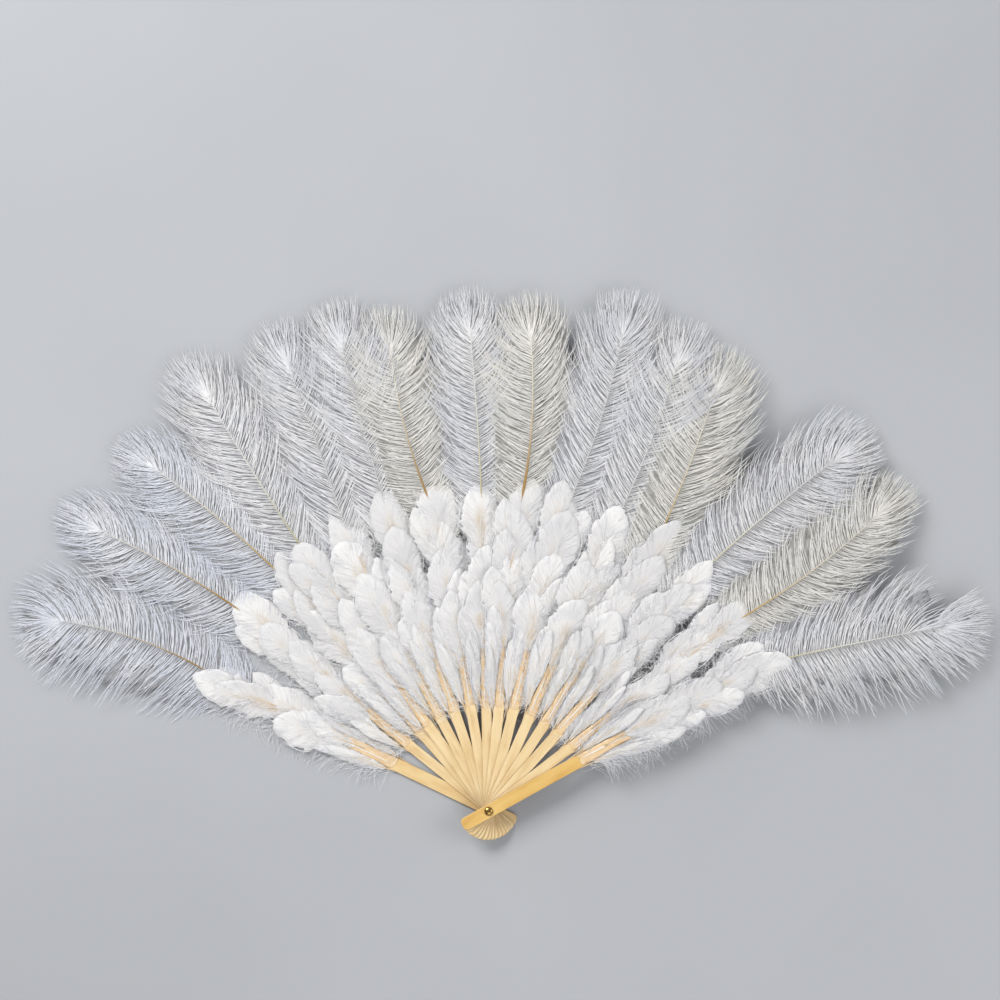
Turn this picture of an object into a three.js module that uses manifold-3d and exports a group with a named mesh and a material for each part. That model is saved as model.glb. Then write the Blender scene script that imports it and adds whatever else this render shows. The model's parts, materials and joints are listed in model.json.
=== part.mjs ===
// Folding feather fan: fifteen bamboo blades on one rivet, each with a set of small body feathers glued
// along its upper half and one long plume on its end. Lengths are in millimetres. The rivet stands on the
// Z axis, its back lies on z = 0 and the blades are stacked upwards, each in a flat layer of its own.
import * as THREE from 'three';
import { mergeVertices } from 'three/addons/utils/BufferGeometryUtils.js';
import Module from 'manifold-3d';

const wasm = await Module();
wasm.setup();

// Bamboo
const STICK_WIDTH = 8.2;
const GUARD_WIDTH = 10.4;
const TAIL_RADIUS = 24;
const TAIL_CORNER = 3.4;
const RIB_TIP_RADIUS = 236;
const RIB_TIP_WIDTH = 5;
const RIB_THICKNESS = 0.5;
const SEAT_RAMP = 6;

// Rivet
const SHANK_RADIUS = 1.5;
const PIVOT_CLEARANCE = 0.08;
const PIVOT_SIDES = 16;
const HEAD_RADIUS = 3.5;
const BACK_HEAD_THICKNESS = 1.2;
const CAP_EDGE = 0.5;
const CAP_DOME = 1.6;
const CAP_STEPS = 4;
const CAP_SOCKET = 1;
const CAP_CLEARANCE = 0.1;

// Body feathers
const FIRST_TIER_RADIUS = 104;
const TIER_COUNT = 6;
const FEATHER_LENGTH = 60;
const FEATHER_HALF_WIDTH = 16;
const FEATHER_SPLAY = 9;
const CALAMUS_LENGTH = 18;
const CALAMUS_WIDTH = 2.2;
const COVER_THICKNESS = 0.3;
const FEATHER_WIDEST_AT = 0.62;
const FEATHER_STATIONS = [0.14, 0.38, FEATHER_WIDEST_AT, 0.82, 0.95];

// Plumes
const PLUME_LENGTH = 190;
const PLUME_HALF_WIDTH = 48;
const QUILL_THICKNESS = 0.4;
const QUILL_WIDTH = 2.2;
const QUILL_SEAT_LENGTH = 32;
const VANE_EDGE = 0.25;
const VANE_START_GAP = 4;
const VANE_STATIONS = 16;
const VANE_FOOT_SHARE = 0.38;
const VANE_TIP_SHARE = 0.38;
const TUFT_DEPTH = 0.07;

// Fits
const GLUE_LINE = 0.1;
const LAYER_CLEARANCE = 0.1;

// One row for each blade, from the rear guard to the front guard: the bearing of the stick in the open fan,
// how far the plume leans off the stick, and three shares: the plume's length and half width as shares of
// the usual ones, and the bow of its quill as a share of its own length.
const BLADES = [
  { bearing: 154.4, lean: 8, length: 0.94, half: 1.15, bow: -0.06 },
  { bearing: 141.2, lean: 10, length: 0.995, half: 0.9, bow: -0.037 },
  { bearing: 131.4, lean: 9, length: 0.99, half: 0.9, bow: -0.027 },
  { bearing: 125.7, lean: -4, length: 1.085, half: 0.95, bow: 0.01 },
  { bearing: 117.7, lean: -8, length: 1.025, half: 0.94, bow: -0.01 },
  { bearing: 109.1, lean: -4, length: 1.015, half: 1.0, bow: 0.005 },
  { bearing: 100.0, lean: 3, length: 0.93, half: 0.94, bow: 0.051 },
  { bearing: 91.3, lean: 3, length: 0.97, half: 0.92, bow: -0.011 },
  { bearing: 84.3, lean: 4, length: 0.945, half: 0.96, bow: -0.05 },
  { bearing: 76.1, lean: -3, length: 1.04, half: 0.96, bow: -0.035 },
  { bearing: 66.4, lean: 3, length: 0.995, half: 0.94, bow: -0.026 },
  { bearing: 57.3, lean: 12, length: 0.975, half: 1.04, bow: -0.016 },
  { bearing: 48.5, lean: -9, length: 1.045, half: 0.96, bow: 0.025 },
  { bearing: 37.9, lean: 0, length: 1.025, half: 0.94, bow: -0.036 },
  { bearing: 29.0, lean: -18, length: 1.05, half: 1.12, bow: 0.025 },
];

// Heights inside one blade's layer, measured from the back of its stick
const FEATHER_FLOOR = RIB_THICKNESS + GLUE_LINE;
const QUILL_TOP = FEATHER_FLOOR + QUILL_THICKNESS;
const COVER_FLOOR = QUILL_TOP + GLUE_LINE;
const STICK_THICKNESS = COVER_FLOOR + COVER_THICKNESS;

// Places along one blade, measured from the rivet
const SEAT_START = FIRST_TIER_RADIUS - CALAMUS_LENGTH - SEAT_RAMP;
const PLUME_ROOT = RIB_TIP_RADIUS - QUILL_SEAT_LENGTH;
const TIER_SPACING = (PLUME_ROOT - FIRST_TIER_RADIUS) / (TIER_COUNT - 1);

// Places up the rivet
const LAYER_PITCH = STICK_THICKNESS + LAYER_CLEARANCE;
const STACK_BASE = BACK_HEAD_THICKNESS + LAYER_CLEARANCE;
const STACK_TOP = STACK_BASE + BLADES.length * LAYER_PITCH;

const bamboo = { color: 0xf0d8a8, roughness: 0.55, metalness: 0 };
const guardSkin = { color: 0xe4bd72, roughness: 0.45, metalness: 0 };
const white = { color: 0xf1f0ee, roughness: 0.85, metalness: 0 };
const plumeWhite = { color: 0xf4f5f8, roughness: 0.9, metalness: 0 };
const brass = { color: 0xd2a848, roughness: 0.25, metalness: 1 };

function toSolid(geometry) {
  const bare = geometry.clone();
  bare.deleteAttribute('normal');
  bare.deleteAttribute('uv');
  const merged = mergeVertices(bare, 1e-4);
  return new wasm.Manifold(new wasm.Mesh({
    numProp: 3,
    vertProperties: new Float32Array(merged.attributes.position.array),
    triVerts: new Uint32Array(merged.index.array),
  }));
}

function toGeometry(solid) {
  const mesh = solid.getMesh();
  const geometry = new THREE.BufferGeometry();
  geometry.setAttribute('position', new THREE.BufferAttribute(mesh.vertProperties, 3));
  geometry.setIndex(new THREE.BufferAttribute(mesh.triVerts, 1));
  geometry.computeVertexNormals();
  return geometry;
}

function named(name, geometry, finish) {
  const mesh = new THREE.Mesh(geometry, new THREE.MeshStandardMaterial(finish));
  mesh.name = name;
  return mesh;
}

function slab(points, bottom, top) {
  const shape = new THREE.Shape(points);
  const geometry = new THREE.ExtrudeGeometry(shape, { depth: top - bottom, bevelEnabled: false });
  return geometry.translate(0, 0, bottom);
}

// Points on a circle about the rivet, from one angle to another
function arc(radius, from, to, count) {
  const points = [];
  for (let i = 0; i <= count; i += 1) {
    const angle = from + (to - from) * i / count;
    points.push(new THREE.Vector2(radius * Math.cos(angle), radius * Math.sin(angle)));
  }
  return points;
}

// A bamboo strip lying along +X: tail rounded about the rivet, bored for the shank, and pared down from the
// first quill to the tip so that the feathers lie within the strip's own thickness.
function stickGeometry(width) {
  const half = width / 2;
  const cornerX = -Math.sqrt(TAIL_RADIUS ** 2 - half ** 2);
  const turn = Math.asin((half - TAIL_CORNER) / TAIL_RADIUS);
  const tail = arc(TAIL_RADIUS, Math.PI - turn, Math.PI + turn, 2);
  const upper = new THREE.QuadraticBezierCurve(
    new THREE.Vector2(cornerX + TAIL_CORNER, half), new THREE.Vector2(cornerX, half), tail[0]);
  const lower = new THREE.QuadraticBezierCurve(
    tail[2], new THREE.Vector2(cornerX, -half), new THREE.Vector2(cornerX + TAIL_CORNER, -half));
  const tipX = RIB_TIP_RADIUS - RIB_TIP_WIDTH / 2;
  const outline = [
    ...upper.getPoints(3),
    tail[1],
    ...lower.getPoints(3),
    new THREE.Vector2(SEAT_START, -half),
    new THREE.Vector2(tipX, -RIB_TIP_WIDTH / 2),
    new THREE.Vector2(RIB_TIP_RADIUS, -RIB_TIP_WIDTH / 4),
    new THREE.Vector2(RIB_TIP_RADIUS, RIB_TIP_WIDTH / 4),
    new THREE.Vector2(tipX, RIB_TIP_WIDTH / 2),
    new THREE.Vector2(SEAT_START, half),
  ];
  const shape = new THREE.Shape(outline);
  const boreRadius = (SHANK_RADIUS + PIVOT_CLEARANCE) / Math.cos(Math.PI / PIVOT_SIDES);
  const bore = arc(boreRadius, 0, 2 * Math.PI, PIVOT_SIDES).slice(0, PIVOT_SIDES);
  shape.holes.push(new THREE.Path(bore));
  const strip = new THREE.ExtrudeGeometry(shape, { depth: STICK_THICKNESS, bevelEnabled: false });
  const above = STICK_THICKNESS + RIB_THICKNESS;
  const beyond = RIB_TIP_RADIUS + width;
  const paring = slab([
    new THREE.Vector2(SEAT_START, STICK_THICKNESS),
    new THREE.Vector2(SEAT_START + SEAT_RAMP, RIB_THICKNESS),
    new THREE.Vector2(beyond, RIB_THICKNESS),
    new THREE.Vector2(beyond, above),
    new THREE.Vector2(SEAT_START, above),
  ], -width, width);
  paring.rotateX(Math.PI / 2);
  return toGeometry(toSolid(strip).subtract(toSolid(paring)));
}

// Half width of a spoon-shaped body feather at a share of its length
function featherHalfWidth(share) {
  if (share < FEATHER_WIDEST_AT) {
    return FEATHER_HALF_WIDTH * Math.sin(Math.PI / 2 * share / FEATHER_WIDEST_AT);
  }
  const end = (share - FEATHER_WIDEST_AT) / (1 - FEATHER_WIDEST_AT);
  return FEATHER_HALF_WIDTH * Math.sqrt(1 - end * end);
}

// One body feather growing from (root, 0) and turned off the stick by an angle
function featherSolid(root, splay, bottom, top) {
  const edge = (share, side) => new THREE.Vector2(share * FEATHER_LENGTH, side * featherHalfWidth(share));
  const right = FEATHER_STATIONS.map((share) => edge(share, -1));
  const left = FEATHER_STATIONS.map((share) => edge(share, 1)).reverse();
  const foot = new THREE.Vector2(0, 0);
  const tip = new THREE.Vector2(FEATHER_LENGTH, 0);
  const geometry = slab([foot, ...right, tip, ...left], bottom, top);
  return toSolid(geometry.rotateZ(THREE.MathUtils.degToRad(splay)).translate(root, 0, 0));
}

// The bonded set of body feathers on one stick: pairs in tiers, splayed to both sides, over a line of
// quills. The upper tiers leave room underneath for the plume.
function bodyFeatherGeometry() {
  const quillStart = FIRST_TIER_RADIUS - CALAMUS_LENGTH + GLUE_LINE;
  let set = toSolid(slab([
    new THREE.Vector2(quillStart, -CALAMUS_WIDTH / 4),
    new THREE.Vector2(FIRST_TIER_RADIUS, -CALAMUS_WIDTH / 2),
    new THREE.Vector2(PLUME_ROOT, -CALAMUS_WIDTH / 2),
    new THREE.Vector2(PLUME_ROOT, CALAMUS_WIDTH / 2),
    new THREE.Vector2(FIRST_TIER_RADIUS, CALAMUS_WIDTH / 2),
    new THREE.Vector2(quillStart, CALAMUS_WIDTH / 4),
  ], FEATHER_FLOOR, QUILL_TOP));
  for (let tier = 0; tier < TIER_COUNT; tier += 1) {
    const root = FIRST_TIER_RADIUS + tier * TIER_SPACING;
    for (const side of [-1, 1]) {
      const step = (tier + (side > 0 ? 1 : 0)) % 2;
      const top = STICK_THICKNESS - step * COVER_THICKNESS / 2;
      set = set.add(featherSolid(root, side * FEATHER_SPLAY, FEATHER_FLOOR, top));
    }
  }
  const reach = FEATHER_LENGTH + QUILL_SEAT_LENGTH;
  const room = new THREE.BoxGeometry(reach, 4 * FEATHER_LENGTH, COVER_FLOOR);
  room.translate(PLUME_ROOT - GLUE_LINE + reach / 2, 0, COVER_FLOOR / 2);
  return toGeometry(set.subtract(toSolid(room)));
}

// Half width of a plume's vane at one of its stations: round at the foot, full in the middle and blunt at
// the tip, with the edge drawn in between tufts of barbs
function vaneHalfWidth(half, station) {
  const share = station / VANE_STATIONS;
  const foot = Math.min(share / VANE_FOOT_SHARE, 1);
  const tip = Math.max((share - 1) / VANE_TIP_SHARE + 1, 0);
  const tuft = station % 2 === 0 ? 1 : 1 - TUFT_DEPTH;
  return half * tuft * Math.sqrt(1 - (1 - foot) ** 2) * Math.sqrt(1 - tip ** 2);
}

// One plume: a quill that starts flat on the end of the rib and runs out along a bowed line, with a vane of
// barbs that thins from the quill to its edges. Cross sections are joined into one closed skin.
function plumeGeometry(blade) {
  const length = blade.length * PLUME_LENGTH;
  const lean = THREE.MathUtils.degToRad(blade.lean);
  const along = new THREE.Vector2(Math.cos(lean), Math.sin(lean));
  const across = new THREE.Vector2(-along.y, along.x);
  const start = new THREE.Vector2(RIB_TIP_RADIUS, 0);
  const middle = start.clone().addScaledVector(along, length / 2);
  middle.addScaledVector(across, blade.bow * length);
  const end = start.clone().addScaledVector(along, length);
  const quill = new THREE.SplineCurve([start, middle, end]);
  const vaneStart = VANE_START_GAP / length;
  const rings = [];
  const addRing = (point, side, half, bottom) => {
    const quillHalf = Math.min(QUILL_WIDTH / 2, half);
    const middleZ = (bottom + QUILL_TOP) / 2;
    const edgeTop = middleZ + VANE_EDGE / 2;
    const edgeBottom = middleZ - VANE_EDGE / 2;
    const corners = [
      [-half, edgeBottom], [-quillHalf, bottom], [quillHalf, bottom], [half, edgeBottom],
      [half, edgeTop], [quillHalf, QUILL_TOP], [-quillHalf, QUILL_TOP], [-half, edgeTop],
    ];
    rings.push(corners.map(([offset, z]) => [point.x + side.x * offset, point.y + side.y * offset, z]));
  };
  const straight = new THREE.Vector2(0, 1);
  addRing(new THREE.Vector2(PLUME_ROOT, 0), straight, QUILL_WIDTH / 2, FEATHER_FLOOR);
  addRing(start, straight, QUILL_WIDTH / 2, FEATHER_FLOOR);
  for (let station = 0; station < VANE_STATIONS; station += 1) {
    const t = vaneStart + (1 - vaneStart) * station / VANE_STATIONS;
    const tangent = quill.getTangent(t);
    const side = new THREE.Vector2(-tangent.y, tangent.x);
    const half = Math.max(vaneHalfWidth(blade.half * PLUME_HALF_WIDTH, station), QUILL_WIDTH / 2);
    addRing(quill.getPoint(t), side, half, GLUE_LINE);
  }
  const last = quill.getTangent(1);
  addRing(end, new THREE.Vector2(-last.y, last.x), QUILL_WIDTH, GLUE_LINE);
  return skin(rings);
}

// Closed skin over a row of rings with the same number of corners
function skin(rings) {
  const count = rings[0].length;
  const index = [];
  for (let r = 0; r + 1 < rings.length; r += 1) {
    for (let c = 0; c < count; c += 1) {
      const a = r * count + c;
      const b = r * count + (c + 1) % count;
      index.push(a, b, a + count);
      index.push(b, b + count, a + count);
    }
  }
  const lastRing = (rings.length - 1) * count;
  for (let c = 1; c + 1 < count; c += 1) {
    index.push(0, c + 1, c);
    index.push(lastRing, lastRing + c, lastRing + c + 1);
  }
  const geometry = new THREE.BufferGeometry();
  geometry.setAttribute('position', new THREE.Float32BufferAttribute(rings.flat(2), 3));
  geometry.setIndex(index);
  geometry.computeVertexNormals();
  return geometry;
}

// Turned rivet pieces, as profiles of radius and height
function turned(profile) {
  const points = profile.map(([radius, height]) => new THREE.Vector2(radius, height));
  return new THREE.LatheGeometry(points, PIVOT_SIDES).rotateX(Math.PI / 2);
}

function rivetPostGeometry() {
  return turned([
    [0, 0],
    [HEAD_RADIUS, 0],
    [HEAD_RADIUS, BACK_HEAD_THICKNESS],
    [SHANK_RADIUS, BACK_HEAD_THICKNESS],
    [SHANK_RADIUS, STACK_TOP + CAP_SOCKET],
    [0, STACK_TOP + CAP_SOCKET],
  ]);
}

function rivetCapGeometry() {
  const socketRadius = SHANK_RADIUS / Math.cos(Math.PI / PIVOT_SIDES) + CAP_CLEARANCE;
  const profile = [
    [0, STACK_TOP + CAP_SOCKET + CAP_CLEARANCE],
    [socketRadius, STACK_TOP + CAP_SOCKET + CAP_CLEARANCE],
    [socketRadius, STACK_TOP],
    [HEAD_RADIUS, STACK_TOP],
  ];
  for (let i = 0; i < CAP_STEPS; i += 1) {
    const angle = Math.PI / 2 * i / CAP_STEPS;
    profile.push([HEAD_RADIUS * Math.cos(angle), STACK_TOP + CAP_EDGE + CAP_DOME * Math.sin(angle)]);
  }
  profile.push([0, STACK_TOP + CAP_EDGE + CAP_DOME]);
  return turned(profile);
}

const fan = new THREE.Group();
fan.name = 'feather_fan';

const stick = stickGeometry(STICK_WIDTH);
const guard = stickGeometry(GUARD_WIDTH);
const bodyFeathers = bodyFeatherGeometry();

BLADES.forEach((blade, i) => {
  const number = String(i + 1).padStart(2, '0');
  const isRear = i === 0;
  const isFront = i === BLADES.length - 1;
  const group = new THREE.Group();
  group.name = `blade_${number}`;
  group.rotation.z = THREE.MathUtils.degToRad(blade.bearing);
  group.position.z = STACK_BASE + i * LAYER_PITCH;
  if (isRear) {
    group.add(named('rear_guard', guard, guardSkin));
  } else if (isFront) {
    group.add(named('front_guard', guard, guardSkin));
  } else {
    group.add(named(`stick_${number}`, stick, bamboo));
  }
  group.add(named(`body_feathers_${number}`, bodyFeathers, white));
  group.add(named(`plume_${number}`, plumeGeometry(blade), plumeWhite));
  fan.add(group);
});

fan.add(named('rivet_post', rivetPostGeometry(), brass));
fan.add(named('rivet_cap', rivetCapGeometry(), brass));

console.log(`${BLADES.length} blades, one every ${LAYER_PITCH.toFixed(2)} mm`);
console.log(`stack from ${STACK_BASE.toFixed(2)} to ${STACK_TOP.toFixed(2)} mm`);

export default fan;
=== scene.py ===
# %% [markdown]
# # A folding fan of white feathers
#
# The fan has fifteen bamboo blades on one brass rivet. Every blade carries a row of small white body
# feathers, glued on in tiers like roof tiles, and one long plume on its end. The bamboo and the rivet are
# stiff, so their shapes come from a few extruded and turned outlines. Feathers are soft and made of
# hundreds of loose barbs, so here they are made twice over: closed vanes as thin curved sheets, and loose
# barbs as tapered strands.

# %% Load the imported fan
import json
import math
import bmesh
import bpy
import numpy as np
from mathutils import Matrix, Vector

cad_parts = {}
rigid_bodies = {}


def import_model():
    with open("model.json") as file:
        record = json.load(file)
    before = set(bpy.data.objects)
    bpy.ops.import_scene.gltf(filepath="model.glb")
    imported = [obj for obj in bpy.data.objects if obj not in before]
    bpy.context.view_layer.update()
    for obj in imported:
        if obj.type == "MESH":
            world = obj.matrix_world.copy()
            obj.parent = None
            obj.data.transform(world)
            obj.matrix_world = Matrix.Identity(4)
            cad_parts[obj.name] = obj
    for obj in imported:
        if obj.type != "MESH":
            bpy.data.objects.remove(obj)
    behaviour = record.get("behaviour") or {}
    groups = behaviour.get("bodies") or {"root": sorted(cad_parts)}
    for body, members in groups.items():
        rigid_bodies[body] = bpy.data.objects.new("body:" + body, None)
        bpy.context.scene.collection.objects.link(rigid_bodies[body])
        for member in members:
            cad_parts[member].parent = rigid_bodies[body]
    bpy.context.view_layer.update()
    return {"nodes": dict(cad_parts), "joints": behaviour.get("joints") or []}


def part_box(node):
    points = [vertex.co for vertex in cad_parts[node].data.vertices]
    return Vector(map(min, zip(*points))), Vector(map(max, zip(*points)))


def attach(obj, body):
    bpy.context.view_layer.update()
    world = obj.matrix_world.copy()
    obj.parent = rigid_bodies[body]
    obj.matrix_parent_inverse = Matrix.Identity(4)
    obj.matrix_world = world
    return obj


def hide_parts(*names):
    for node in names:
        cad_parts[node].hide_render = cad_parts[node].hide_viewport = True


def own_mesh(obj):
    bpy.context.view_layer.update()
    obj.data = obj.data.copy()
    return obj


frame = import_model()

MM = 0.001

# %% [markdown]
# ## The blades
#
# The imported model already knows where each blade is. The rear guard stays put, and every other blade has
# a hinge whose range says how far it has to turn to lie on the rear guard, so its bearing follows from
# that range. The bottom of each stick gives the height of its layer. All feathers are then drawn in a
# blade's own directions (along the stick, to its left, and up) and turned into place by one small
# function.

# %% Read the blades from the frame
REAR_BEARING = 154.4
BLADE_COUNT = 15
GUARDS = {1: "rear_guard", BLADE_COUNT: "front_guard"}
REAR_HINGE = {"name": "fan_fold", "range_deg": (0.0, 0.0)}
joint_of = {j["child"]: j for j in frame["joints"]}


def turned(points, degrees):
    """How far along and how far left points lie after a turn about the origin."""
    turn = math.radians(degrees)
    along, left = points[..., 0], points[..., 1]
    return along * math.cos(turn) - left * math.sin(turn), along * math.sin(turn) + left * math.cos(turn)


class Blade:
    def __init__(self, number):
        self.number = number
        self.label = f"{number:02d}"
        self.body = f"blade_{self.label}"
        self.is_guard = number in GUARDS
        self.stick = GUARDS.get(number, f"stick_{self.label}")
        hinge = joint_of.get(self.body, REAR_HINGE)
        self.joint = hinge["name"]
        self.bearing = REAR_BEARING - hinge["range_deg"][1]
        low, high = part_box(self.stick)
        self.floor = low[2] / MM
        self.thickness = (high[2] - low[2]) / MM

    def place(self, points):
        """Points along, left of and above the stick's back, in mm, as points of the frame in metres."""
        points = np.asarray(points, float)
        return np.stack([*turned(points, self.bearing), points[..., 2] + self.floor], axis=-1) * MM


blades = [Blade(n) for n in range(1, BLADE_COUNT + 1)]
print("bearings", [round(b.bearing, 1) for b in blades])
print("layers from", round(blades[0].floor, 2), "to", round(blades[-1].floor, 2), "mm")

# %% [markdown]
# ## Small helpers
#
# A piece is finished in the same way each time: its mesh is linked to the scene, it gets its material,
# it is told which blade it moves with, and the solid that it stands for is hidden. Feathers are pressed
# flat as the fan closes; a soft piece such as a feather gets a mesh of its own.


def show(name, data):
    """A new object, linked to the scene."""
    thing = bpy.data.objects.new(name, data)
    bpy.context.scene.collection.objects.link(thing)
    return thing


def finish_piece(mesh, blade, material, stands_for=None, soft=False, smooth=True):
    piece = show(mesh.name, mesh)
    mesh.materials.clear()
    mesh.materials.append(material)
    for polygon in mesh.polygons:
        polygon.use_smooth = smooth
    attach(piece, blade.body)
    if stands_for:
        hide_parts(stands_for)
    if soft:
        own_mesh(piece)


# %% [markdown]
# Most sheets start as a flat outline or grid. They get a UV map, are bent by moving their corners, and
# become closed slabs by raising their faces a little.

# %% Shape a sheet
def new_grid(columns, rows, size=1.0):
    bm = bmesh.new()
    bmesh.ops.create_grid(bm, x_segments=columns, y_segments=rows, size=size)
    return bm


def corners(bm):
    return np.array([v.co for v in bm.verts])


def move_corners(bm, places):
    for vert, place in zip(bm.verts, places):
        vert.co = place


def map_uv(bm, where):
    """A UV map worked out from the place of each corner."""
    uv = bm.loops.layers.uv.new("UVMap")
    for face in bm.faces:
        for loop in face.loops:
            loop[uv].uv = where(loop.vert.co)


def thicken(bm, height):
    """Raises a sheet's faces, so that it becomes a closed slab."""
    raised = bmesh.ops.extrude_face_region(bm, geom=bm.faces[:])["geom"]
    top = [v for v in raised if isinstance(v, bmesh.types.BMVert)]
    bmesh.ops.translate(bm, verts=top, vec=(0, 0, height))
    bmesh.ops.recalc_face_normals(bm, faces=bm.faces)


def to_mesh(bm, name):
    mesh = bpy.data.meshes.new(name)
    bm.to_mesh(mesh)
    bm.free()
    return mesh


# %% [markdown]
# ## Strands
#
# A barb or a wisp of down is a thin tapered tube. Blender's curves make these well: each strand is one
# poly spline with a radius at every point, swept by a small square or triangle, which is all that a
# strand thinner than a pixel needs. A plume's barb is flat, so it is swept by a flattened square instead,
# rolled a little about its own line. The curve is then made a mesh and its end caps are welded on, so
# each strand is closed.

# %% Sections of strands
def section_curve(name, corner_count, flatness):
    curve = bpy.data.curves.new(name, "CURVE")
    curve.dimensions = "2D"
    spline = curve.splines.new("POLY")
    spline.points.add(corner_count - 1)
    for number, point in enumerate(spline.points):
        turn = 2 * math.pi * number / corner_count
        point.co = (math.cos(turn), flatness * math.sin(turn), 0.0, 1.0)
    spline.use_cyclic_u = True
    return bpy.data.objects.new(name, curve)


round_section = section_curve("round_section", 4, 1.0)
fine_section = section_curve("fine_section", 3, 1.0)
flat_section = section_curve("flat_section", 4, 0.3)
print("sections", round_section.name, fine_section.name, flat_section.name)

# %% Make a mesh of strands
WELD_DISTANCE = 1e-7


def strands(name, paths, radii, section, roll):
    """A mesh of strands with paths in metres, and with radii in mm that all share or each has."""
    curve = bpy.data.curves.new(name, "CURVE")
    curve.dimensions = "3D"
    curve.twist_mode = "Z_UP"
    curve.bevel_mode = "OBJECT"
    curve.bevel_object = section
    curve.use_fill_caps = True
    count = paths.shape[1]
    points = np.ones((len(paths), count, 4), np.float32)
    points[:, :, :3] = paths
    radii = np.broadcast_to(radii * MM, paths.shape[:2]).astype(np.float32)
    for path, radius, turn in zip(points, radii, np.broadcast_to(roll, len(paths))):
        spline = curve.splines.new("POLY")
        spline.points.add(count - 1)
        spline.points.foreach_set("co", path.ravel())
        spline.points.foreach_set("radius", radius)
        spline.points.foreach_set("tilt", np.full(count, turn, np.float32))
    maker = show(name + "_maker", curve)
    graph = bpy.context.evaluated_depsgraph_get()
    mesh = bpy.data.meshes.new_from_object(maker.evaluated_get(graph))
    bpy.data.objects.remove(maker)
    bpy.data.curves.remove(curve)
    bm = bmesh.new()
    bm.from_mesh(mesh)
    bmesh.ops.remove_doubles(bm, verts=bm.verts, dist=WELD_DISTANCE)
    bm.to_mesh(mesh)
    bm.free()
    mesh.name = name
    return mesh


def strand_piece(name, blade, slot, lines, radii, material, section=round_section, roll=0.0, soft=True):
    """A finished piece of strands, from lines in a blade's own directions."""
    mesh = strands(name, blade.place(lines), radii, section, roll)
    finish_piece(mesh, blade, material, soft=soft)


# %% [markdown]
# ## Materials
#
# Every finish is built from nodes. The class below keeps that short: it adds a node and links or sets its
# inputs, so each material reads like a list of what it is made of. Colours are written as they look on a
# screen, from 0 to 255, and turned into the linear values that shaders take.

# %% Material helpers
def shader_colour(tone):
    """A screen colour in linear values, with full alpha."""
    shares = [value / 255 for value in tone]
    return (*[((s + 0.055) / 1.055) ** 2.4 if s > 0.04045 else s / 12.92 for s in shares], 1.0)


class Finish:
    """A material, its shader, and short ways to add nodes to it."""

    def __init__(self, name, roughness, **sockets):
        self.material = bpy.data.materials.new(name)
        self.material.use_nodes = True
        self.tree = self.material.node_tree
        self.shader = self.tree.nodes["Principled BSDF"]
        self.shader.inputs["Roughness"].default_value = roughness
        for socket, value in sockets.items():
            self.shader.inputs[socket.replace("_", " ")].default_value = value

    def node(self, kind, inputs=None, **settings):
        """The outputs of a new node, whose inputs are each linked or set to a value."""
        node = self.tree.nodes.new("ShaderNode" + kind)
        for key, value in settings.items():
            setattr(node, key, value)
        for socket, value in (inputs or {}).items():
            if isinstance(value, bpy.types.NodeSocket):
                self.tree.links.new(value, node.inputs[socket])
            else:
                node.inputs[socket].default_value = value
        return node.outputs

    def place(self):
        return self.node("TexCoord")["Object"]

    def uv(self, *stretch):
        place = self.node("UVMap", uv_map="UVMap")["UV"]
        if stretch:
            place = self.node("Mapping", {"Vector": place, "Scale": stretch})["Vector"]
        return place

    def part(self, vector, axis):
        return self.node("SeparateXYZ", {"Vector": vector})[axis]

    def attribute(self, name):
        return self.node("Attribute", attribute_name=name)["Fac"]

    def noise(self, place, scale, detail, roughness=0.5):
        inputs = {"Vector": place, "Scale": scale, "Detail": detail, "Roughness": roughness}
        return self.node("TexNoise", inputs)["Fac"]

    def math(self, operation, *values):
        return self.node("Math", dict(enumerate(values)), operation=operation)["Value"]

    def between(self, value, low, high, at_low, at_high, kind="SMOOTHSTEP"):
        """A value that runs from one number to another."""
        inputs = {"Value": value, "From Min": low, "From Max": high, "To Min": at_low, "To Max": at_high}
        return self.node("MapRange", inputs, interpolation_type=kind)["Result"]

    def ramp(self, factor, *stops):
        colour = self.node("ValToRGB", {"Fac": factor})["Color"]
        elements = colour.node.color_ramp.elements
        while len(elements) < len(stops):
            elements.new(0.5)
        for element, (position, tone) in zip(elements, stops):
            element.position = position
            element.color = shader_colour(tone)
        return colour

    def blend(self, factor, colour, tone):
        return self.node("Mix", {0: factor, 6: colour, 7: shader_colour(tone)}, data_type="RGBA")[2]

    def paint(self, colour, height=None, strength=0.0, distance=0.0):
        """Colours the shader, gives it a bump where there is a height, and hands over the material."""
        self.tree.links.new(colour, self.shader.inputs["Base Color"])
        if height is not None:
            bump = self.node("Bump", {"Height": height, "Strength": strength, "Distance": distance})
            self.tree.links.new(bump["Normal"], self.shader.inputs["Normal"])
        return self.material


# %% [markdown]
# ## Bamboo
#
# The sticks are split bamboo: straight fibres run the whole length, with finer and coarser streaks and a
# few darker ones. The inner sticks are pale scraped wood. The guards keep the outer skin of the cane,
# which is yellower and glossier. The fibres follow each stick, so the noise is stretched along the
# stick's own UV map. The sides and bevels are painted darker the more they turn away from up: painted
# shade, which stands for the dark line in the gap between two sticks.

# %% Bamboo finishes
# Colour of the painted shade on the sides and bevels of the sticks.
SIDE_SHADE = (158, 116, 62)


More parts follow.
